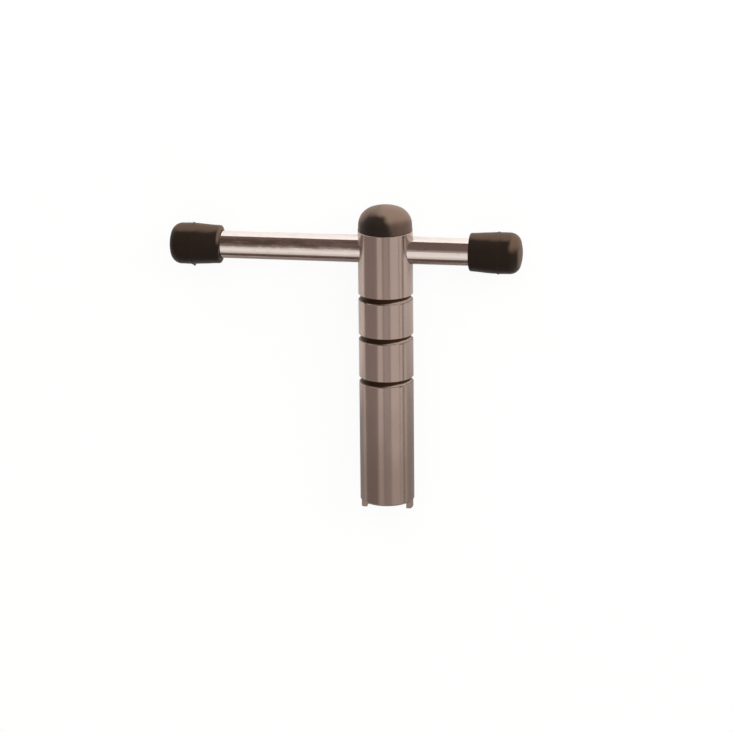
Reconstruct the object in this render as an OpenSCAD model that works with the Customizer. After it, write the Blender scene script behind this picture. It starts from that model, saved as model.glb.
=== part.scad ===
// Chainring nut wrench: a lugged socket on a turned steel body, with a sliding
// cross bar through it and moulded caps on its head and on both ends of the bar.
// It lies on its side. Y runs along the body, from the tip face to the dome.
// X runs along the bar, and Z points up, away from what the wrench lies on.

/* [Body] */
// Diameter of the turned body
body_d = 12; // [10.6:0.1:15]
// Length of the body from the tip face to the seam under the dome cap
body_len = 61.4; // [50:0.1:80]
// Edge break round the tip face
tip_chamfer = 0.4; // [0.1:0.1:0.8]
// Edge break under the seam
seam_break = 0.15; // [0.05:0.05:0.4]

/* [Grooves] */
// Distance from the seam down to the upper rim of the first groove
groove_1_at = 14.1; // [11:0.1:17]
// Distance from the seam down to the upper rim of the second groove
groove_2_at = 23.1; // [19:0.1:27]
// Distance from the seam down to the upper rim of the third groove
groove_3_at = 32.8; // [29:0.1:39]
// Width of a groove
groove_w = 1.2; // [0.8:0.1:1.8]
// Depth of a groove
groove_deep = 0.5; // [0.4:0.1:0.8]
// Radius in the corners of a groove's floor
groove_corner = 0.2; // [0.05:0.05:0.25]
// Edge break on the rims of a groove
groove_break = 0.1; // [0.05:0.05:0.15]

/* [Tip] */
// Diameter of the blind bore that clears the end of the bolt
pilot_d = 8.4; // [6.6:0.1:8.8]
// Depth of the straight wall of the blind bore
pilot_depth = 6; // [4:0.5:16]
// Included angle of the cone that the drill leaves under the bore
drill_angle = 118; // [90:1:140]
// Width of a driving lug
lug_w = 2.2; // [1.6:0.1:3]
// Height of a driving lug beyond the tip face
lug_h = 1.8; // [1:0.1:3]
// Step from the bore out to the inner face of a lug
lug_relief = 0.3; // [0.1:0.1:0.5]
// Step from the body in to the outer face of a lug
lug_inset = 0.25; // [0.2:0.05:0.5]
// Edge break on the free end of a lug
lug_break = 0.25; // [0.1:0.05:0.4]

/* [Cross bar] */
// Diameter of the cross bar
bar_d = 6; // [4.8:0.1:7.4]
// Length of the bare steel bar
bar_len = 74.4; // [56:0.1:100]
// Edge break on the ends of the bar
bar_chamfer = 0.5; // [0.2:0.1:1]
// Gap all round between the bar and its hole
bar_clearance = 0.06; // [0.02:0.01:0.1]
// Width of the countersink at the mouths of the cross hole
hole_break = 0.4; // [0.2:0.05:0.8]
// Steel left between that countersink and the seam
hole_land = 0.8; // [0.4:0.1:3]
// Distance from the body's axis to the middle of the bar, to the left
bar_rest = 8.9; // [0:0.1:12]

/* [Dome cap] */
// Height of the straight side of the dome cap
dome_skirt = 1.3; // [0.8:0.1:3]
// How far the straight side draws in on its way up from the seam
dome_draft = 0.2; // [0:0.05:0.4]
// Rise of the dome above its straight side
dome_rise = 4.3; // [3.6:0.1:6]
// Radius of the dome's shoulder
dome_corner = 4; // [2:0.1:4.5]
// Wall of the dome cap round the spigot
dome_wall = 2; // [1.2:0.1:2.6]
// Height of the spigot on the body that holds the dome cap
spigot_h = 3.4; // [2:0.1:4.1]
// Edge break on the end of the spigot
spigot_chamfer = 0.4; // [0.2:0.1:0.8]
// Gap all round between the spigot and the dome cap
spigot_clearance = 0.05; // [0.02:0.01:0.1]
// Gap between the end of the spigot and the dome cap
spigot_end_gap = 0.2; // [0.1:0.1:0.5]

/* [Bar caps] */
// Length of a bar cap
cap_len = 11.5; // [10:0.1:16]
// Thickness of the closed end of a bar cap
cap_end = 1.8; // [1.2:0.1:3]
// Wall of a bar cap at its mould parting line
cap_wall = 1.5; // [1.3:0.05:2.5]
// Wall of a bar cap where its rounded end starts
cap_shoulder_wall = 1.45; // [1.2:0.05:2.5]
// Wall of a bar cap at its mouth
cap_mouth_wall = 1.1; // [1:0.05:2]
// Distance from the closed end to the mould parting line
cap_parting_at = 5.2; // [4:0.1:6.5]
// Rise of the rounded end of a bar cap
cap_rise = 2.7; // [2:0.1:3.5]
// Radius of the shoulder of that rounded end
cap_corner = 2.4; // [1.5:0.1:3.2]
// Rounding of the outer edge of the mouth
cap_mouth_round = 0.4; // [0.2:0.1:0.9]
// Edge break inside the mouth
cap_mouth_break = 0.25; // [0.1:0.05:0.4]
// Height of the flash along the parting line
flash_h = 0.12; // [0.05:0.01:0.25]
// Width of that flash at its foot
flash_w = 0.5; // [0.3:0.1:0.8]
// Width of that flash at its crest
flash_top = 0.12; // [0.05:0.01:0.2]
// Gap all round between a bar cap and the bar
cap_clearance = 0.05; // [0.02:0.01:0.1]
// Height of the moulding nub under the left bar cap
nub_h = 0.5; // [0.2:0.1:0.8]
// Diameter of that nub at its foot
nub_d = 1.0; // [0.6:0.1:1.4]

/* [Hidden] */
$fn = 96;
body_r = body_d / 2;
bar_r = bar_d / 2;
pilot_r = pilot_d / 2;
spigot_r = body_r - dome_wall;
hole_r = bar_r + bar_clearance;
hole_at = hole_r + hole_break + hole_land;
hole_y = body_len - hole_at;
cap_bore_r = bar_r + cap_clearance;
arc_steps = 16;
small_arc_steps = 6;
// Least difference between a rounded end's rise and its shoulder radius
crown_margin = 0.3;
// How far a cut runs past the face that it opens
past = 1;

// Points of an arc round a centre, from one angle to another
function arc(centre, r, from, to, steps) =
    [for (i = [0:steps]) let (a = from + (to - from) * i / steps) centre + r * [cos(a), sin(a)]];

// Points of a rounded end from its middle to its side: a wide crown arc that
// runs smoothly into the shoulder arc
function rounded_end(r, rise, corner) =
    let (
        shoulder = min(corner, rise - crown_margin),
        crown = (pow(r - shoulder, 2) + pow(rise, 2) - pow(shoulder, 2)) / (2 * (rise - shoulder)),
        meet = atan2(crown - rise, r - shoulder)
    )
    concat(
        arc([0, rise - crown], crown, 90, meet, arc_steps),
        arc([r - shoulder, 0], shoulder, meet, 0, arc_steps)
    );

// Points of one groove in the body's outline, given the height of its upper rim
function groove(top) =
    let (low = top - groove_w, floor_r = body_r - groove_deep)
    concat(
        [[body_r, low - groove_break], [body_r - groove_break, low]],
        arc([floor_r + groove_corner, low + groove_corner], groove_corner, 270, 180, small_arc_steps),
        arc([floor_r + groove_corner, top - groove_corner], groove_corner, 180, 90, small_arc_steps),
        [[body_r - groove_break, top], [body_r, top + groove_break]]
    );

// Turns what stands on the Z axis so that it runs along the body, dome end last
module along_body() {
    rotate([-90, 0, 0]) children();
}

// The turned body with its grooves and its spigot
module turned_blank() {
    rotate_extrude()
        polygon(concat(
            [[0, 0], [body_r - tip_chamfer, 0], [body_r, tip_chamfer]],
            [for (at = [groove_3_at, groove_2_at, groove_1_at]) each groove(body_len - at)],
            [
                [body_r, body_len - seam_break],
                [body_r - seam_break, body_len],
                [spigot_r, body_len],
                [spigot_r, body_len + spigot_h - spigot_chamfer],
                [spigot_r - spigot_chamfer, body_len + spigot_h],
                [0, body_len + spigot_h]
            ]
        ));
}

// Blind bore in the tip, with the drill's cone under it
module pilot_bore() {
    translate([0, 0, -past]) cylinder(h = past + pilot_depth, r = pilot_r);
    translate([0, 0, pilot_depth]) cylinder(h = pilot_r / tan(drill_angle / 2), r1 = pilot_r, r2 = 0);
}

// Two lugs that stand on the tip face, in line with the cross bar
module lugs() {
    inner = pilot_r + lug_relief;
    outer = body_r - lug_inset;
    root = tip_chamfer + lug_break;
    intersection() {
        rotate_extrude()
            polygon([
                [inner, root],
                [inner, -lug_h],
                [outer - lug_break, -lug_h],
                [outer, lug_break - lug_h],
                [outer, root]
            ]);
        translate([-body_d, -lug_w / 2, -lug_h - past]) cube([2 * body_d, lug_w, lug_h + root + 2 * past]);
    }
}

// Cross hole with a countersink at both mouths
module cross_hole() {
    translate([0, hole_y, 0]) rotate([0, 90, 0]) {
        cylinder(h = body_d + 2 * past, r = hole_r, center = true);
        for (side = [0, 1]) mirror([0, 0, side])
            translate([0, 0, body_r - hole_break])
                cylinder(h = hole_break + past, r1 = hole_r, r2 = hole_r + hole_break + past);
    }
}

module body() {
    color("rosybrown") difference() {
        along_body() difference() {
            union() {
                turned_blank();
                lugs();
            }
            pilot_bore();
        }
        cross_hole();
    }
}

module top_cap() {
    color([0.2, 0.15, 0.13]) translate([0, body_len, 0]) along_body()
        difference() {
            rotate_extrude()
                polygon(concat(
                    [[0, 0]],
                    [for (p = rounded_end(body_r - dome_draft, dome_rise, dome_corner)) p + [0, dome_skirt]],
                    [[body_r, 0]]
                ));
            translate([0, 0, -past])
                cylinder(h = past + spigot_h + spigot_end_gap, r = spigot_r + spigot_clearance);
        }
}

module tommy_bar() {
    end_x = bar_len / 2;
    color("lightgray") translate([-bar_rest, hole_y, 0]) rotate([0, 90, 0])
        rotate_extrude()
            polygon([
                [0, -end_x],
                [bar_r - bar_chamfer, -end_x],
                [bar_r, bar_chamfer - end_x],
                [bar_r, end_x - bar_chamfer],
                [bar_r - bar_chamfer, end_x],
                [0, end_x]
            ]);
}

// A bar cap with its closed end at the origin and its mouth up the Z axis
module bar_cap() {
    shoulder_r = cap_bore_r + cap_shoulder_wall;
    parting_r = cap_bore_r + cap_wall;
    mouth_r = cap_bore_r + cap_mouth_wall;
    rotate_extrude()
        polygon(concat(
            [for (p = rounded_end(shoulder_r, cap_rise, cap_corner)) [p[0], cap_rise - p[1]]],
            [
                [parting_r, cap_parting_at - flash_w / 2],
                [parting_r + flash_h, cap_parting_at - flash_top / 2],
                [parting_r + flash_h, cap_parting_at + flash_top / 2],
                [parting_r, cap_parting_at + flash_w / 2]
            ],
            arc([mouth_r - cap_mouth_round, cap_len - cap_mouth_round], cap_mouth_round, 0, 90, small_arc_steps),
            [
                [cap_bore_r + cap_mouth_break, cap_len],
                [cap_bore_r, cap_len - cap_mouth_break],
                [cap_bore_r, cap_end],
                [0, cap_end]
            ]
        ));
}

// The nub that the mould left on the parting line, on the side towards the tip
module moulding_nub() {
    foot = cap_wall / 2;
    translate([0, -cap_bore_r - cap_wall + foot, cap_parting_at])
        rotate([90, 0, 0]) cylinder(h = foot + nub_h, d1 = nub_d, d2 = nub_d / 3);
}

module bar_cap_left() {
    color([0.17, 0.13, 0.11])
        translate([-bar_rest - bar_len / 2 - cap_end, hole_y, 0]) rotate([0, 90, 0]) {
            bar_cap();
            moulding_nub();
        }
}

module bar_cap_right() {
    color([0.17, 0.13, 0.11])
        translate([-bar_rest + bar_len / 2 + cap_end, hole_y, 0]) rotate([0, -90, 0]) bar_cap();
}

body();
top_cap();
tommy_bar();
bar_cap_left();
bar_cap_right();
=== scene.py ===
"""Looks of a small chainring nut wrench: turned steel body, sliding bright bar and moulded black caps.

It lies on its side on a pale floor. X runs along the bar, Y along the body towards the dome, and Z up.
"""

import math

import bpy
from mathutils import Matrix, Vector


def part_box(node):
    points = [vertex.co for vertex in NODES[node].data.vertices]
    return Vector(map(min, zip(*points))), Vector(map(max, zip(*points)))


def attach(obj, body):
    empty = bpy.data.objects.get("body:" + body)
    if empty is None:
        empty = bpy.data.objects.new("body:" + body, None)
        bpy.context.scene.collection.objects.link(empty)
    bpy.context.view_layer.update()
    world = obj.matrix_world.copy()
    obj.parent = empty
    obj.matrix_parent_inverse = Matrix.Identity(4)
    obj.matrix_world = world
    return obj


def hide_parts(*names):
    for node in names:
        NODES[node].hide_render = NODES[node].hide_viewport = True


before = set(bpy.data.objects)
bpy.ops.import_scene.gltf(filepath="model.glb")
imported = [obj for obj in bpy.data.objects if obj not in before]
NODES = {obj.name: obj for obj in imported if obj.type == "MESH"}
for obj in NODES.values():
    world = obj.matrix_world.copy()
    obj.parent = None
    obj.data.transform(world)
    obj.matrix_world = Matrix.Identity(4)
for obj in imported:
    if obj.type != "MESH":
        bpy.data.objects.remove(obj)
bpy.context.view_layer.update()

MM = 0.001
TO_METRES = Matrix.Scale(MM, 4)

# Sizes and places read from the frame
BODY_LOW, BODY_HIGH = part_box("body")
BODY_RADIUS = BODY_HIGH.x
FLOOR_LEVEL = BODY_LOW.z
SEAM_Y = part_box("top_cap")[0].y
BAR_LOW, BAR_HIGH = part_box("tommy_bar")
BAR_Y = (BAR_LOW.y + BAR_HIGH.y) / 2
LEFT_CAP_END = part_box("bar_cap_left")[0].x
RIGHT_CAP_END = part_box("bar_cap_right")[1].x

# Grooves, as distances from the seam to the middle of each, and their width
GROOVES = (14.7 * MM, 23.7 * MM, 33.4 * MM)
GROOVE_WIDTH = 1.2 * MM

# How finely a cap is drawn: points along its outline, round it and on each rounded corner
ALONG_CAP = 220
ROUND_CAP = 112
CORNER_POINTS = 12

# Bar caps, in millimetres, with the outline that their solids have
BAR_CAP = {
    "Length": 11.5,
    "Shoulder Radius": 4.5,
    "Rise": 2.7,
    "Corner": 2.4,
    "Parting At": 5.2,
    "Parting Radius": 4.55,
    "Mouth Radius": 4.15,
    "Mouth Round": 0.4,
    "Bore Radius": 3.05,
    "End Wall": 1.8,
    "Flash Height": 0.14,
    "Unevenness": 0.14,
    "Nub Height": 0.0,
    "Seed": 3.0,
}

# The left cap has a nub that the mould left, and the right cap is uneven in its own way
LEFT_CAP = {**BAR_CAP, "Nub Height": 0.5}
RIGHT_CAP = {**BAR_CAP, "Seed": 7.0}

# Dome cap, in millimetres. It has no flash and no nub
DOME_CAP = {
    "Length": 5.6,
    "Shoulder Radius": 5.8,
    "Rise": 4.3,
    "Corner": 4.0,
    "Parting At": 4.9,
    "Parting Radius": 5.9,
    "Mouth Radius": 5.98,
    "Mouth Round": 0.08,
    "Bore Radius": 4.05,
    "End Wall": 2.0,
    "Flash Height": 0.0,
    "Unevenness": 0.10,
    "Nub Height": 0.0,
    "Seed": 11.0,
}

# What all caps share, in millimetres: the rounding of the bore's edges, how far out from the bore the
# moulding starts to be uneven and is fully so, how near the parting line the flash starts and is full, and
# how near each other the points of the seam are when they become one
BORE_ROUND = 0.15
UNEVEN_FROM = 0.35
UNEVEN_FULLY = 0.9
FLASH_FROM = 0.25
FLASH_FULLY = 0.06
WELDED_WITHIN = 0.001

# The nub in millimetres, and its lean in radians
NUB_TIP_RADIUS = 0.18
NUB_FOOT_RADIUS = 0.62
NUB_SUNK = 0.6
NUB_FROM_PARTING = -0.1
NUB_LEAN = 0.22


def colour(red, green, blue):
    return (red, green, blue, 1.0)


WHITE = colour(1.0, 1.0, 1.0)

# Plating of the body, its duller plating, the painted light on the tip side of its grooves, and the black
# that fills its grooves
BODY_PLATING = (colour(0.42, 0.335, 0.295), colour(0.47, 0.385, 0.345))
DULL_PLATING = colour(0.25, 0.19, 0.155)
GROOVE_PAINTED_LIGHT = colour(0.36, 0.275, 0.235)
GROOVE_BLACK = colour(0.045, 0.024, 0.014)

# Plating of the bar, the stain on it, and painted shade on its tip side, at its edge and in a streak along
# its dome side
BAR_PLATING = (colour(0.85, 0.79, 0.75), colour(0.91, 0.87, 0.84))
BAR_STAIN = colour(0.70, 0.56, 0.47)
BAR_PAINTED_SHADE = colour(0.27, 0.195, 0.155)
BAR_PAINTED_EDGE_SHADE = colour(0.10, 0.068, 0.052)
BAR_PAINTED_STREAK = colour(0.30, 0.23, 0.19)

# Rubber of the bar caps and of the dome cap, clean and faded, with painted sheen and light, painted shade
# and a painted black patch of shade
CAP_BLACK = (colour(0.0105, 0.0066, 0.0042), colour(0.0140, 0.0090, 0.0062))
CAP_PAINTED_LIGHT = colour(0.105, 0.066, 0.046)
DOME_FADED = (colour(0.072, 0.043, 0.032), colour(0.094, 0.059, 0.045))
DOME_PAINTED_SHEEN = colour(0.155, 0.108, 0.084)
DOME_PAINTED_SHADE = colour(0.030, 0.019, 0.014)
DOME_PAINTED_DARK_PATCH = colour(0.0100, 0.0064, 0.0044)
SHEEN_TINT = colour(1.0, 0.78, 0.66)

# Floor, and what the steel mirrors of it beside the tip
FLOOR_TONES = (colour(0.92, 0.92, 0.92), colour(0.94, 0.94, 0.94))
FLOOR_SHADE = colour(0.06, 0.045, 0.04)

# Surroundings square to the body and past its two ends, the dark lane past the dome and past the tip, how
# far the lane is to one side, and the colour of the lamps
SQUARE_TO_BODY = colour(0.40, 0.345, 0.325)
PAST_ENDS = colour(0.62, 0.56, 0.53)
LANE_PAST_DOME = colour(0.145, 0.098, 0.086)
LANE_PAST_TIP = colour(0.13, 0.085, 0.070)
LANE_MIDDLE = -0.17
LAMP_TINT = (1.0, 0.97, 0.94)


class Varying:
    """A value that varies over a surface or along a shape. Arithmetic on it adds Math nodes."""

    def __init__(self, plan, socket):
        self.plan = plan
        self.socket = socket

    def __add__(self, other):
        return self.plan.maths("ADD", self, other)

    def __sub__(self, other):
        return self.plan.maths("SUBTRACT", self, other)

    def __rsub__(self, other):
        return self.plan.maths("SUBTRACT", other, self)

    def __mul__(self, other):
        return self.plan.maths("MULTIPLY", self, other)

    def __truediv__(self, other):
        return self.plan.maths("DIVIDE", self, other)

    __radd__ = __add__
    __rmul__ = __mul__


def find(sockets, name):
    """The socket of that number or name that the node's settings leave in use."""
    if isinstance(name, int):
        return sockets[name]
    return next(socket for socket in sockets if socket.name == name and socket.enabled)


class Plan:
    """A node tree and the one method that makes each of its nodes."""

    def __init__(self, tree):
        self.tree = tree
        self.tree.nodes.clear()

    def node(self, kind, settings=None, inputs=None):
        """Adds a node and sets its own settings first, then the values or links of its sockets. The setting
        "items" is how many values an index switch takes, and a list goes into one socket that takes many."""
        made = self.tree.nodes.new(kind)
        for name, value in (settings or {}).items():
            if name == "items":
                while len(made.index_switch_items) < value:
                    made.index_switch_items.new()
            else:
                setattr(made, name, value)
        for name, value in (inputs or {}).items():
            socket = find(made.inputs, name)
            for source in value if isinstance(value, list) else [value]:
                if isinstance(source, Varying):
                    self.tree.links.new(source.socket, socket)
                else:
                    socket.default_value = source
        return made

    def out(self, made, name=0):
        return Varying(self, find(made.outputs, name))

    def maths(self, operation, *values):
        return self.out(self.node("ShaderNodeMath", {"operation": operation}, dict(enumerate(values))))

    def split(self, vector):
        made = self.node("ShaderNodeSeparateXYZ", inputs={0: vector})
        return [self.out(made, axis) for axis in "XYZ"]

    def join(self, x, y, z):
        return self.out(self.node("ShaderNodeCombineXYZ", inputs={"X": x, "Y": y, "Z": z}))

    def noise(self, vector, scale=1.0, detail=2.0, roughness=0.5, seed=None):
        inputs = {"Vector": vector, "Scale": scale, "Detail": detail, "Roughness": roughness}
        settings = {}
        if seed is not None:
            settings["noise_dimensions"] = "4D"
            inputs["W"] = seed
        return self.out(self.node("ShaderNodeTexNoise", settings, inputs))

    def ease(self, value, start, end):
        """Runs smoothly from 0 to 1 while the value goes from start to end."""
        inputs = {"Value": value, "From Min": start, "From Max": end}
        return self.out(self.node("ShaderNodeMapRange", {"interpolation_type": "SMOOTHSTEP"}, inputs))

    def mix(self, factor, first, second):
        inputs = {"Factor": factor, "A": first, "B": second}
        return self.out(self.node("ShaderNodeMix", {"data_type": "RGBA"}, inputs), "Result")


class Finish(Plan):
    """One material and the nodes that make it."""

    def __init__(self, name):
        self.material = bpy.data.materials.new(name)
        self.material.use_nodes = True
        super().__init__(self.material.node_tree)

    def place(self):
        """Where a point is on the object, in metres."""
        return self.out(self.node("ShaderNodeTexCoord"), "Object")

    def stretched(self, scale):
        return self.out(self.node("ShaderNodeMapping", inputs={"Vector": self.place(), "Scale": scale}))

    def bump(self, height, distance, below=None):
        inputs = {"Height": height, "Distance": distance}
        if below:
            inputs["Normal"] = below
        return self.out(self.node("ShaderNodeBump", inputs=inputs))

    def surface(self, constants, varying):
        """Main shader. Constants are set on its own sockets, and what varies over the surface is linked."""
        shader = self.out(self.node("ShaderNodeBsdfPrincipled", inputs={**constants, **varying}))
        self.node("ShaderNodeOutputMaterial", inputs={"Surface": shader})
        return self.material


class Shape(Plan):
    """A Geometry Nodes tree with named sizes and a material as its inputs."""

    def __init__(self, name, size_names):
        tree = bpy.data.node_groups.new(name, "GeometryNodeTree")
        super().__init__(tree)
        for size_name in size_names:
            tree.interface.new_socket(size_name, in_out="INPUT", socket_type="NodeSocketFloat")
        tree.interface.new_socket("Material", in_out="INPUT", socket_type="NodeSocketMaterial")
        tree.interface.new_socket("Geometry", in_out="OUTPUT", socket_type="NodeSocketGeometry")
        self.entry = self.node("NodeGroupInput")

    def size(self, name):
        return self.out(self.entry, name)

    def step(self, kind, inputs, settings=None):
        """A node whose first output is the geometry that it makes or changes."""
        return self.out(self.node(kind, settings, inputs))

    def in_order(self, kind, values):
        """Gives each point of a line its own value from the list."""
        inputs = {"Index": self.out(self.node("GeometryNodeInputIndex"))}
        inputs.update({str(number): value for number, value in enumerate(values)})
        settings = {"data_type": kind, "items": len(values)}
        return self.out(self.node("GeometryNodeIndexSwitch", settings, inputs))

    def finished(self, geometry):
        """Ends the tree, with whole geometry that has the material."""
        whole = self.step("GeometryNodeRealizeInstances", {"Geometry": geometry})
        material = self.size("Material")
        coated = self.step("GeometryNodeSetMaterial", {"Geometry": whole, "Material": material})
        self.node("NodeGroupOutput", inputs={"Geometry": coated})

    def make(self, name, sizes, material, place):
        """Makes a piece: a plain mesh with its place in it, on an object at the origin."""
        piece = bpy.data.objects.new(name, bpy.data.meshes.new(name))
        bpy.context.scene.collection.objects.link(piece)
        modifier = piece.modifiers.new("shape", "NODES")
        modifier.node_group = self.tree
        values = {**sizes, "Material": material}
        for item in self.tree.interface.items_tree:
            if item.in_out == "INPUT":
                modifier[item.identifier] = values[item.name]
        graph = bpy.context.evaluated_depsgraph_get()
        mesh = bpy.data.meshes.new_from_object(piece.evaluated_get(graph), depsgraph=graph)
        piece.modifiers.remove(modifier)
        piece.data = mesh
        mesh.transform(place)
        return piece


def groove_wear(steel, x, y, patch):
    """How much a point lies within a groove's width, and how much of it gets painted light in place of its
    black.
    The painted light covers the tip side of a groove, from further up towards the bar's short side."""
    lit_from = 0.62 * MM - 0.50 * MM * steel.ease(x + 2.5 * MM * (patch - 0.5), -1.0 * MM, 5.2 * MM)
    below_seam = SEAM_Y - y
    groove = 0.0
    lit_groove_side = 0.0
    for middle in GROOVES:
        away = below_seam - middle
        inside = steel.ease(steel.maths("ABSOLUTE", away), GROOVE_WIDTH * 0.56, GROOVE_WIDTH * 0.46)
        lower = inside * steel.ease(away - lit_from, -0.16 * MM, 0.16 * MM)
        groove = steel.maths("MAXIMUM", groove, inside)
        lit_groove_side = steel.maths("MAXIMUM", lit_groove_side, lower)
    return groove, lit_groove_side


def body_steel_finish():
    """Turned, polished and plated steel: fine turning lines, smudges, a dull tip, and blackened grooves with
    painted light on their tip side.
    """
    steel = Finish("turned_body_steel")
    x, y, z = steel.split(steel.place())
    smear = steel.noise(steel.stretched((260, 90, 260)), detail=3.0)
    patch = steel.noise(steel.stretched((700, 420, 700)), detail=4.0)
    turning = steel.noise(steel.stretched((60, 16000, 60)), detail=3.0)

    groove, lit_groove_side = groove_wear(steel, x, y, patch)
    radius = steel.maths("SQRT", x * x + z * z)
    sunk = steel.ease(radius, BODY_RADIUS - 0.04 * MM, BODY_RADIUS - 0.20 * MM)
    # Painted light: on the tip side of each groove the black gives way to a pale, less metallic colour
    painted_groove_light = lit_groove_side * sunk
    black = groove * sunk * (1.0 - lit_groove_side)

    dull_tip = steel.ease(y + 16.0 * MM * (smear - 0.5), 30.0 * MM, 2.0 * MM)
    polish = steel.mix(smear, *BODY_PLATING)
    used = steel.mix(0.6 * dull_tip, polish, DULL_PLATING)
    scraped = steel.mix(painted_groove_light, used, GROOVE_PAINTED_LIGHT)
    paint = steel.mix(black, scraped, GROOVE_BLACK)

    rough = 0.13 + 0.06 * smear + 0.03 * turning + 0.05 * dull_tip + 0.30 * black
    normal = steel.bump(turning, 0.0007 * MM)
    normal = steel.bump(patch, 0.0016 * MM, below=normal)
    return steel.surface(
        {"IOR": 1.5},
        {"Base Color": paint, "Metallic": 1.0 - 0.75 * painted_groove_light, "Roughness": rough, "Normal": normal},
    )


def bar_steel_finish():
    """Bright drawn and plated bar: a little wavy, with faint brown blotches, a painted dark streak of shade
    that grows towards the long side, and painted shade on the upper face of its tip side, darkest at its
    edge."""
    steel = Finish("bright_bar_steel")
    x, y, z = steel.split(steel.place())
    drawn = steel.noise(steel.stretched((90, 11000, 11000)), detail=2.0)
    wave = steel.noise(steel.stretched((160, 380, 380)), detail=2.0)
    blotch = steel.noise(steel.stretched((380, 620, 620)), detail=4.0, roughness=0.6)
    bright = steel.mix(wave, *BAR_PLATING)
    stain = steel.ease(blotch, 0.50, 0.72)
    paint = steel.mix(0.22 * stain, bright, BAR_STAIN)

    # Painted shade: a darker brown band on the tip side of the bar's upper face, near black at its edge
    painted_low_shade = steel.ease(y + 0.5 * MM * (blotch - 0.5), BAR_Y - 1.3 * MM, BAR_Y - 2.1 * MM)
    painted_low_shade = painted_low_shade * steel.ease(z, -0.4 * MM, 0.6 * MM)
    paint = steel.mix(0.9 * painted_low_shade, paint, BAR_PAINTED_SHADE)
    painted_edge_shade = painted_low_shade * steel.ease(y, BAR_Y - 2.0 * MM, BAR_Y - 2.5 * MM)
    paint = steel.mix(painted_edge_shade, paint, BAR_PAINTED_EDGE_SHADE)

    # Painted shade: a dark streak along the middle of the bar's dome side, growing towards the long side
    streak_noise = steel.noise(steel.stretched((230, 900, 900)), detail=4.0, roughness=0.65)
    streak = steel.ease(y, BAR_Y - 0.2 * MM, BAR_Y + 0.4 * MM)
    streak = streak * steel.ease(y, BAR_Y + 2.3 * MM, BAR_Y + 1.6 * MM)
    painted_streak_shade = streak * steel.ease(streak_noise - 7.0 * x, 0.44, 0.74)
    paint = steel.mix(0.62 * painted_streak_shade, paint, BAR_PAINTED_STREAK)

    rough = 0.06 + 0.05 * wave + 0.03 * drawn + 0.06 * stain
    normal = steel.bump(drawn, 0.0004 * MM)
    normal = steel.bump(wave, 0.010 * MM, below=normal)
    normal = steel.bump(blotch, 0.003 * MM, below=normal)
    return steel.surface(
        {"IOR": 1.5},
        {"Base Color": paint, "Metallic": 1.0 - 0.8 * painted_edge_shade, "Roughness": rough, "Normal": normal},
    )


def rubber_grain(rubber):
    """Fine matt grain of the mould, and a soft cloudiness, each as a value from 0 to 1."""
    grain = rubber.noise(rubber.place(), scale=8000.0, detail=3.0, roughness=0.6)
    cloud = rubber.noise(rubber.place(), scale=420.0, detail=3.0)
    return grain, cloud


def cap_rubber_finish():
    """Black moulded rubber with brown painted sheen along the dome side, and brown painted light on the
    right end and the left cap's lip.
    """
    rubber = Finish("bar_cap_rubber")
    grain, cloud = rubber_grain(rubber)
    x, y = rubber.split(rubber.place())[:2]
    drift = 1.2 * MM * (cloud - 0.5)
    # Painted sheen along the dome side of the caps
    upper = rubber.ease(y + 0.5 * drift, BAR_Y + 3.1 * MM, BAR_Y + 3.9 * MM)

    # Painted light on the right cap's end, where it faces the lamps
    rim = rubber.ease(x + 0.5 * drift, RIGHT_CAP_END - 1.0 * MM, RIGHT_CAP_END - 0.4 * MM)
    rim = rim * rubber.ease(y + drift, BAR_Y - 3.4 * MM, BAR_Y - 2.2 * MM)
    corner = rubber.ease(x + 0.5 * drift, RIGHT_CAP_END - 2.9 * MM, RIGHT_CAP_END - 2.0 * MM)
    corner = corner * rubber.ease(y + drift, BAR_Y + 0.8 * MM, BAR_Y + 2.6 * MM)
    painted_end_light = rubber.maths("MAXIMUM", 0.8 * rim, corner)

    # Painted light on the upper part of the left cap's lip
    mouth_x = LEFT_CAP_END + BAR_CAP["Length"] * MM
    lip = rubber.ease(rubber.maths("ABSOLUTE", x - mouth_x), 0.7 * MM, 0.3 * MM)
    lip = lip * rubber.ease(y, BAR_Y + 0.5 * MM, BAR_Y + 2.0 * MM)

    painted_light = rubber.maths("MAXIMUM", upper, 1.3 * painted_end_light)
    painted_light = rubber.maths("MAXIMUM", painted_light, 1.5 * lip)
    black = rubber.mix(cloud, *CAP_BLACK)
    paint = rubber.mix(0.62 * painted_light, black, CAP_PAINTED_LIGHT)
    rough = 0.36 + 0.12 * cloud + 0.06 * grain
    normal = rubber.bump(grain, 0.004 * MM)
    normal = rubber.bump(cloud, 0.04 * MM, below=normal)
    return rubber.surface(
        {"Specular IOR Level": 0.10, "IOR": 1.5, "Sheen Weight": 0.03, "Sheen Roughness": 0.45,
         "Sheen Tint": SHEEN_TINT},
        {"Base Color": paint, "Roughness": rough, "Normal": normal},
    )


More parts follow.
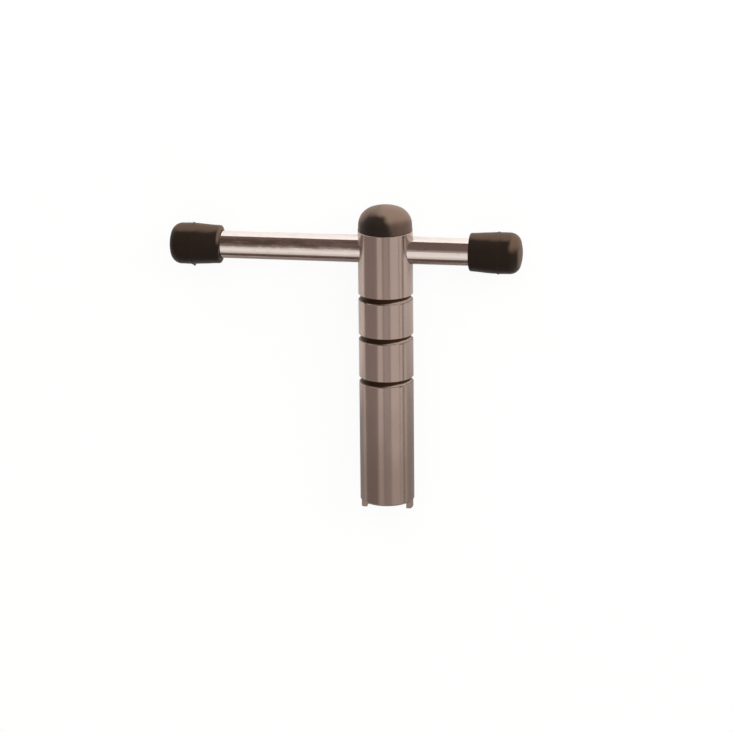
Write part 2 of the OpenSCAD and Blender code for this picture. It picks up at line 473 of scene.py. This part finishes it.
def dome_rubber_finish():
    """Dark moulded dome with painted sheen on its crown, a painted black patch of shade at the front left,
    and painted shade round that patch, low on the dome and left of its middle."""
    rubber = Finish("dome_cap_rubber")
    grain, cloud = rubber_grain(rubber)
    x, y, z = rubber.split(rubber.place())
    drift = 1.6 * MM * (cloud - 0.5)
    # Painted sheen on the crown
    crown = rubber.ease(y + drift, SEAM_Y + 2.0 * MM, SEAM_Y + 3.7 * MM)

    # Painted shade: a black patch at the front left of the dome
    across = (x + 1.5 * MM) / (3.8 * MM)
    up = (y - SEAM_Y - 0.4 * MM) / (4.2 * MM)
    from_dark_patch = rubber.maths("SQRT", across * across + up * up) + 0.36 * (cloud - 0.5)
    painted_dark_patch = rubber.ease(from_dark_patch, 1.12, 0.82) * rubber.ease(z, 0.2 * MM, 2.4 * MM)
    # Painted shade round the patch, low on the dome and left of its middle
    low = rubber.ease(y, SEAM_Y + 3.4 * MM, SEAM_Y + 1.8 * MM)
    shaded_side = 0.8 * rubber.ease(x + drift, 0.6 * MM, -1.4 * MM)
    shaded_side = shaded_side * rubber.ease(x + drift, -5.4 * MM, -3.6 * MM)
    painted_shade = rubber.ease(from_dark_patch, 2.1, 0.9) * rubber.maths("MAXIMUM", low, shaded_side)

    faded = rubber.mix(cloud, *DOME_FADED)
    pale = rubber.mix(0.9 * crown, faded, DOME_PAINTED_SHEEN)
    shaded_paint = rubber.mix(0.55 * painted_shade, pale, DOME_PAINTED_SHADE)
    paint = rubber.mix(0.97 * painted_dark_patch, shaded_paint, DOME_PAINTED_DARK_PATCH)
    rough = 0.38 + 0.12 * cloud + 0.06 * grain
    normal = rubber.bump(grain, 0.004 * MM)
    normal = rubber.bump(cloud, 0.05 * MM, below=normal)
    return rubber.surface(
        {"Specular IOR Level": 0.18, "IOR": 1.5, "Sheen Weight": 0.12, "Sheen Roughness": 0.45,
         "Sheen Tint": SHEEN_TINT},
        {"Base Color": paint, "Roughness": rough, "Normal": normal},
    )


def cap_outline(cap):
    """Half of a cap's section, as a bent line from the middle of its closed end over the crown, the shoulder
    and the parting line to the mouth, and back inside the bore. The crown is an arc that starts square to
    the axis and runs on into the shoulder's rounding."""
    radius = cap.size("Shoulder Radius")
    rise = cap.size("Rise")
    corner = cap.size("Corner")
    length = cap.size("Length")
    bore = cap.size("Bore Radius")
    end_wall = cap.size("End Wall")

    flat = radius - corner
    crown = (flat * flat + rise * rise - corner * corner) / (2.0 * (rise - corner))
    slope = flat / (crown - rise)
    bend = cap.maths("ARCTANGENT", slope)
    crown_turn = crown * cap.maths("TANGENT", 0.5 * bend)
    shoulder_at = crown - crown * cap.maths("COSINE", bend)
    shoulder_at = shoulder_at + (radius - crown * cap.maths("SINE", bend)) * slope
    points = [
        (0.0, 0.0, 0.0),
        (0.0, crown_turn, crown),
        (shoulder_at, radius, corner),
        (cap.size("Parting At"), cap.size("Parting Radius"), 0.0),
        (length, cap.size("Mouth Radius"), cap.size("Mouth Round")),
        (length, bore, BORE_ROUND),
        (end_wall, bore, BORE_ROUND),
        (end_wall, 0.0, 0.0),
    ]
    places = [cap.join(along, out, 0.0) for along, out, rounding in points]
    roundings = [rounding for along, out, rounding in points]
    line = cap.step("GeometryNodeMeshLine", {"Count": len(points)})
    bent = {"Geometry": line, "Position": cap.in_order("VECTOR", places)}
    line = cap.step("GeometryNodeMeshToCurve", {"Mesh": cap.step("GeometryNodeSetPosition", bent)})
    rounded = {"Curve": line, "Count": CORNER_POINTS, "Radius": cap.in_order("FLOAT", roundings)}
    return cap.step("GeometryNodeFilletCurve", rounded, {"mode": "POLY"})


def spun_skin(cap, outline):
    """The outline spun round the X axis. Its outside wanders a little, and a ragged flash stands on it."""
    grid = {"Size X": 1.0, "Size Y": 1.0, "Vertices X": ALONG_CAP, "Vertices Y": ROUND_CAP + 1}
    sheet = cap.step("GeometryNodeMeshGrid", grid)
    lengthways, crossways = cap.split(cap.out(cap.node("GeometryNodeInputPosition")))[:2]
    factor = {"Curves": outline, "Factor": lengthways + 0.5}
    sampled = cap.node("GeometryNodeSampleCurve", {"mode": "FACTOR"}, factor)
    along, out = cap.split(cap.out(sampled, "Position"))[:2]
    turn = -2.0 * math.pi * crossways
    side = cap.maths("COSINE", turn)
    level = cap.maths("SINE", turn)

    seed = cap.size("Seed")
    wander = cap.noise(cap.join(along, out * side, out * level), scale=0.4, detail=1.0, seed=seed)
    ragged = cap.noise(cap.join(0.0, side, level), scale=6.0, detail=2.0, seed=seed)
    at_mould_joint = 0.35 + 1.5 * side * side
    from_parting = cap.maths("ABSOLUTE", along - cap.size("Parting At"))
    flash = cap.size("Flash Height") * cap.ease(from_parting, FLASH_FROM, FLASH_FULLY)
    flash = flash * (ragged * at_mould_joint)
    bore = cap.size("Bore Radius")
    outside = cap.ease(out, bore + UNEVEN_FROM, bore + UNEVEN_FULLY)
    spun = out + outside * (cap.size("Unevenness") * (wander - 0.5) + flash)

    places = cap.join(along, spun * side, spun * level)
    skin = cap.step("GeometryNodeSetPosition", {"Geometry": sheet, "Position": places})
    return cap.step("GeometryNodeMergeByDistance", {"Geometry": skin, "Distance": WELDED_WITHIN})


def mould_nub(cap):
    """A small leaning cone by the parting line, sunk into the wall. A cap with no nub height has none."""
    height = cap.size("Nub Height")
    cone = {
        "Vertices": 24,
        "Side Segments": 3,
        "Radius Top": NUB_TIP_RADIUS,
        "Radius Bottom": NUB_FOOT_RADIUS,
        "Depth": height + NUB_SUNK,
    }
    nub = cap.step("GeometryNodeMeshCone", cone)
    foot = cap.join(cap.size("Parting At") + NUB_FROM_PARTING, NUB_SUNK - cap.size("Parting Radius"), 0.0)
    lean = (math.pi / 2, 0.0, NUB_LEAN)
    nub = cap.step("GeometryNodeTransform", {"Geometry": nub, "Rotation": lean, "Translation": foot})
    return cap.step("GeometryNodeSwitch", {"Switch": height, "True": nub}, {"input_type": "GEOMETRY"})


def moulded_cap_shape():
    """A moulded cap in millimetres. The closed end is at the origin, and the mouth is up the X axis."""
    cap = Shape("moulded_cap", BAR_CAP)
    skin = spun_skin(cap, cap_outline(cap))
    whole = cap.step("GeometryNodeJoinGeometry", {0: [skin, mould_nub(cap)]})
    cap.finished(cap.step("GeometryNodeSetShadeSmooth", {"Geometry": whole}))
    return cap


def put_on(node, material):
    """Gives a CAD node a material in place of its plain one."""
    for slot in NODES[node].material_slots:
        slot.material = material


def floor_material():
    """Pale floor that is nearly white to the camera and keeps a trace of the object's shadow. What the steel
    mirrors of it gets darker from the dome towards the tip, most of all close to the body."""
    floor = Finish("pale_floor")
    paths = floor.node("ShaderNodeLightPath")
    camera_ray = floor.out(paths, "Is Camera Ray")
    mirrored = floor.out(paths, "Is Glossy Ray")
    mirrored = floor.maths("MAXIMUM", mirrored, floor.out(paths, "Is Transmission Ray"))
    whitened = floor.maths("MAXIMUM", 0.92 * camera_ray, 0.15 * mirrored)
    x, y = floor.split(floor.place())[:2]
    shaded_from = SEAM_Y - 3.0 * MM - 26.0 * MM * floor.ease(x, 4.0 * MM, -4.0 * MM)
    close = 0.5 + 0.5 * floor.ease(floor.maths("ABSOLUTE", x), 60.0 * MM, 22.0 * MM)
    shaded = mirrored * (0.52 * floor.ease(y, shaded_from, 12.0 * MM) * close)

    tone = floor.mix(floor.noise(floor.place(), scale=30.0), *FLOOR_TONES)
    plain = floor.out(floor.node("ShaderNodeBsdfDiffuse", inputs={"Color": tone}))
    white = floor.out(floor.node("ShaderNodeEmission", inputs={"Color": WHITE}))
    shade = floor.out(floor.node("ShaderNodeEmission", inputs={"Color": FLOOR_SHADE}))
    both = floor.out(floor.node("ShaderNodeMixShader", inputs={0: whitened, 1: plain, 2: white}))
    both = floor.out(floor.node("ShaderNodeMixShader", inputs={0: shaded, 1: both, 2: shade}))
    floor.node("ShaderNodeOutputMaterial", inputs={"Surface": both})
    return floor.material


def make_floor():
    """A square floor at the level that the object lies on."""
    half = 1.5
    mesh = bpy.data.meshes.new("floor")
    corners = [(-half, -half), (half, -half), (half, half), (-half, half)]
    mesh.from_pydata([(x, y, FLOOR_LEVEL) for x, y in corners], [], [(0, 1, 2, 3)])
    floor = bpy.data.objects.new("floor", mesh)
    bpy.context.scene.collection.objects.link(floor)
    mesh.materials.append(floor_material())


def make_world():
    """Warm surroundings that the steel mirrors, and white to the camera. They are brighter past the body's
    two ends, apart from a dark lane in line with it."""
    world = bpy.data.worlds.new("studio")
    bpy.context.scene.world = world
    world.use_nodes = True
    studio = Plan(world.node_tree)
    way = studio.out(studio.node("ShaderNodeTexCoord"), "Generated")
    across, along = studio.split(way)[:2]
    lane = studio.ease(studio.maths("ABSOLUTE", across - LANE_MIDDLE), 0.26, 0.12)
    past_dome = lane * studio.ease(along, 0.0, 0.45)
    past_tip = lane * studio.ease(along, -0.30, -0.95)
    tone = studio.mix(studio.ease(studio.maths("ABSOLUTE", along), 0.30, 0.65), SQUARE_TO_BODY, PAST_ENDS)
    tone = studio.mix(past_dome, tone, LANE_PAST_DOME)
    tone = studio.mix(past_tip, tone, LANE_PAST_TIP)
    dim = studio.out(studio.node("ShaderNodeBackground", inputs={"Color": tone}))
    white = studio.out(studio.node("ShaderNodeBackground", inputs={"Color": WHITE}))
    camera_ray = studio.out(studio.node("ShaderNodeLightPath"), "Is Camera Ray")
    both = studio.out(studio.node("ShaderNodeMixShader", inputs={0: camera_ray, 1: dim, 2: white}))
    studio.node("ShaderNodeOutputWorld", inputs={"Surface": both})


def softbox(name, towards, distance, width, height, radiance, in_gloss=True):
    """A rectangular lamp that faces the object from a direction. Width lies along X as near as it can."""
    light = bpy.data.lights.new(name, "AREA")
    light.shape = "RECTANGLE"
    light.size = width
    light.size_y = height
    light.energy = radiance * math.pi * width * height
    light.color = LAMP_TINT
    lamp = bpy.data.objects.new(name, light)
    bpy.context.scene.collection.objects.link(lamp)
    back = Vector(towards).normalized()
    across = Vector((0.0, 1.0, 0.0)).cross(back).normalized()
    up = back.cross(across)
    turn = Matrix((across, up, back)).transposed()
    lamp.matrix_world = Matrix.Translation(back * distance) @ turn.to_4x4()
    lamp.visible_camera = False
    lamp.visible_glossy = in_gloss


def light_studio():
    """Four lamps that the steel mirrors as bands along the body, then three that only light the object. The
    numbers of each are its direction, distance, width, height and radiance."""
    softbox("softbox_near", (-0.24, -0.46, 0.86), 1.0, 0.39, 1.18, 0.42)
    softbox("softbox_front", (0.18, -0.46, 0.87), 1.0, 0.40, 1.18, 0.20)
    softbox("softbox_right", (0.67, -0.39, 0.63), 1.0, 0.69, 1.74, 0.48)
    softbox("strip_right", (0.93, -0.25, 0.24), 1.0, 0.21, 1.2, 0.50)
    softbox("back_light", (0.10, 0.98, 0.20), 1.0, 1.6, 0.36, 4.0, in_gloss=False)
    softbox("side_key", (0.72, 0.48, 0.50), 1.0, 0.6, 0.6, 4.0, in_gloss=False)
    softbox("top_fill", (0.05, 0.50, 0.86), 1.2, 1.0, 0.8, 2.2, in_gloss=False)


# The camera's place and turn, as fitted to the photograph
CAMERA_DISTANCE = 700 * MM
CAMERA_ELEVATION = math.radians(16.27)
CAMERA_TURN = math.radians(9.92)
CAMERA_ROLL = math.radians(-0.62)
CAMERA_LENS = 156.2
AIM_X = -4.55 * MM
AIM_BELOW_SEAM = 30.90 * MM


def make_camera():
    """Looks down on the lying object, with its head up in the picture."""
    data = bpy.data.cameras.new("camera")
    data.sensor_width = 36.0
    data.lens = CAMERA_LENS
    data.clip_start = 0.01
    camera = bpy.data.objects.new("camera", data)
    bpy.context.scene.collection.objects.link(camera)
    level = math.cos(CAMERA_ELEVATION)
    back = Vector((level * math.sin(CAMERA_TURN), math.sin(CAMERA_ELEVATION), level * math.cos(CAMERA_TURN)))
    aim = Vector((AIM_X, SEAM_Y - AIM_BELOW_SEAM, 0.0))
    turn = (
        Matrix.Rotation(CAMERA_TURN, 3, "Y")
        @ Matrix.Rotation(-CAMERA_ELEVATION, 3, "X")
        @ Matrix.Rotation(CAMERA_ROLL, 3, "Z")
    )
    camera.matrix_world = Matrix.Translation(aim + back * CAMERA_DISTANCE) @ turn.to_4x4()
    bpy.context.scene.camera = camera


def make_caps():
    """The three moulded caps, each on its moving body and in place of its plain solid."""
    shape = moulded_cap_shape()
    cap_rubber = cap_rubber_finish()
    at_left = Matrix.Translation((LEFT_CAP_END, BAR_Y, 0.0))
    at_right = Matrix.Translation((RIGHT_CAP_END, BAR_Y, 0.0)) @ Matrix.Rotation(math.pi, 4, "Y")
    dome_top_y = SEAM_Y + DOME_CAP["Length"] * MM
    at_head = Matrix.Translation((0.0, dome_top_y, 0.0)) @ Matrix.Rotation(-math.pi / 2, 4, "Z")
    left_cap = shape.make("left_bar_cap", LEFT_CAP, cap_rubber, at_left @ TO_METRES)
    right_cap = shape.make("right_bar_cap", RIGHT_CAP, cap_rubber, at_right @ TO_METRES)
    dome_cap = shape.make("dome_cap", DOME_CAP, dome_rubber_finish(), at_head @ TO_METRES)
    for piece, body, node, slot in (
        (left_cap, "sliding_bar", "bar_cap_left", "cap_rubber"),
        (right_cap, "sliding_bar", "bar_cap_right", "cap_rubber"),
        (dome_cap, "wrench_body", "top_cap", "dome_rubber"),
    ):
        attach(piece, body)
        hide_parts(node)


make_camera()
make_world()
light_studio()
make_floor()
put_on("body", body_steel_finish())
put_on("tommy_bar", bar_steel_finish())
make_caps()

bpy.context.scene.view_settings.view_transform = "Standard"
